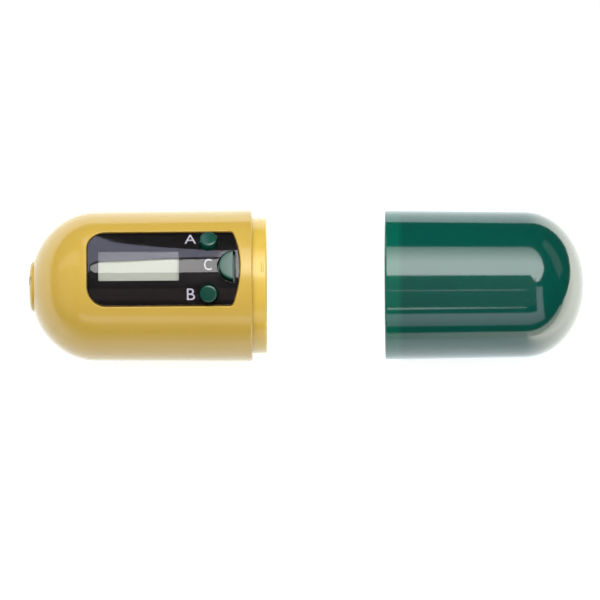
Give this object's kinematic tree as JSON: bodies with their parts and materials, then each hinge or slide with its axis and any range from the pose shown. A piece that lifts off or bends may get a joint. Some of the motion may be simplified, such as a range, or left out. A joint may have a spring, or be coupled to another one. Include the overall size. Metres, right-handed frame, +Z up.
{
  "type": "pill box with timer",
  "caption": "Capsule-shaped pill box pulled open: a yellow timer half with a display and three keys, and a green push-on cap that holds the pills.",
  "frame": {"origin": "the point on the table under the middle of the opened capsule, as it lies on its side", "axes": "+X along the capsule's axis from the timer half to the cap, +Z up from the table, +Y across the capsule, to the side that the panel is rolled to"},
  "size_m": [0.1296, 0.0354, 0.0364],
  "materials": {
    "yellow_plastic": "opaque yellow moulding, glossy",
    "clear_yellow_plastic": "slightly translucent bright yellow, satin gloss",
    "dark_green_plastic": "dark bluish green, slightly translucent, high gloss",
    "cup_green_plastic": "dark bluish green, smooth",
    "key_green_plastic": "green, satin gloss, white letters",
    "clear_acrylic": "clear and polished",
    "black_film": "black print on the back of a clear film",
    "display_glass": "grey-green liquid crystal cell, switched off",
    "display_backing": "pale grey-green reflector",
    "white_plastic": "white moulding",
    "contact_rubber": "banded contact rubber",
    "circuit_board": "green solder mask",
    "chassis_plastic": "dark grey moulding",
    "chip_resin": "black resin",
    "plated_steel": "nickel plated",
    "brass": "plain brass",
    "red_wire": "red wire covering",
    "black_wire": "black wire covering"
  },
  "bodies": {
    "timer": {"body_shell": "yellow_plastic", "neck_cup": "clear_yellow_plastic", "neck_screw_1": "plated_steel", "neck_screw_2": "plated_steel", "neck_screw_3": "plated_steel", "panel_lens": "clear_acrylic", "panel_mask": "black_film", "display_glass": "display_glass", "display_reflector": "display_backing", "display_frame": "white_plastic", "contact_rubber_1": "contact_rubber", "contact_rubber_2": "contact_rubber", "circuit_board": "circuit_board", "chip_blob": "chip_resin", "crystal": "plated_steel", "capacitor": "chip_resin", "switch_a": "plated_steel", "switch_b": "plated_steel", "switch_c": "plated_steel", "chassis": "chassis_plastic", "buzzer_disc": "brass", "buzzer_wire_red": "red_wire", "buzzer_wire_black": "black_wire", "button_cell_1": "plated_steel", "button_cell_2": "plated_steel", "battery_spring": "plated_steel", "battery_contact": "brass"},
    "key_a": {"key_a": "key_green_plastic"},
    "key_b": {"key_b": "key_green_plastic"},
    "key_c": {"key_c": "key_green_plastic"},
    "battery_cover": {"battery_cover": "yellow_plastic"},
    "cap": {"cap_shell": "dark_green_plastic", "pill_cup": "cup_green_plastic"}
  },
  "joints": [
    {"name": "cap_pull", "type": "slide", "parent": "timer", "child": "cap", "axis": [1, 0, 0], "range_m": [-0.03044, 0]},
    {"name": "press_a", "type": "slide", "parent": "timer", "child": "key_a", "axis": [0, -0.5906, -0.807], "range_m": [0, 0.0005], "stiffness_N_per_m": 300},
    {"name": "press_b", "type": "slide", "parent": "timer", "child": "key_b", "axis": [0, 0.1011, -0.9949], "range_m": [0, 0.0005], "stiffness_N_per_m": 300},
    {"name": "press_c", "type": "slide", "parent": "timer", "child": "key_c", "axis": [0, -0.2622, -0.965], "range_m": [0, 0.0005], "stiffness_N_per_m": 300},
    {"name": "battery_cover_turn", "type": "hinge", "parent": "timer", "child": "battery_cover", "pos_m": [-0.064, 0, 0.01765], "axis": [-1, 0, 0], "range_deg": [0, 60]}
  ]
}
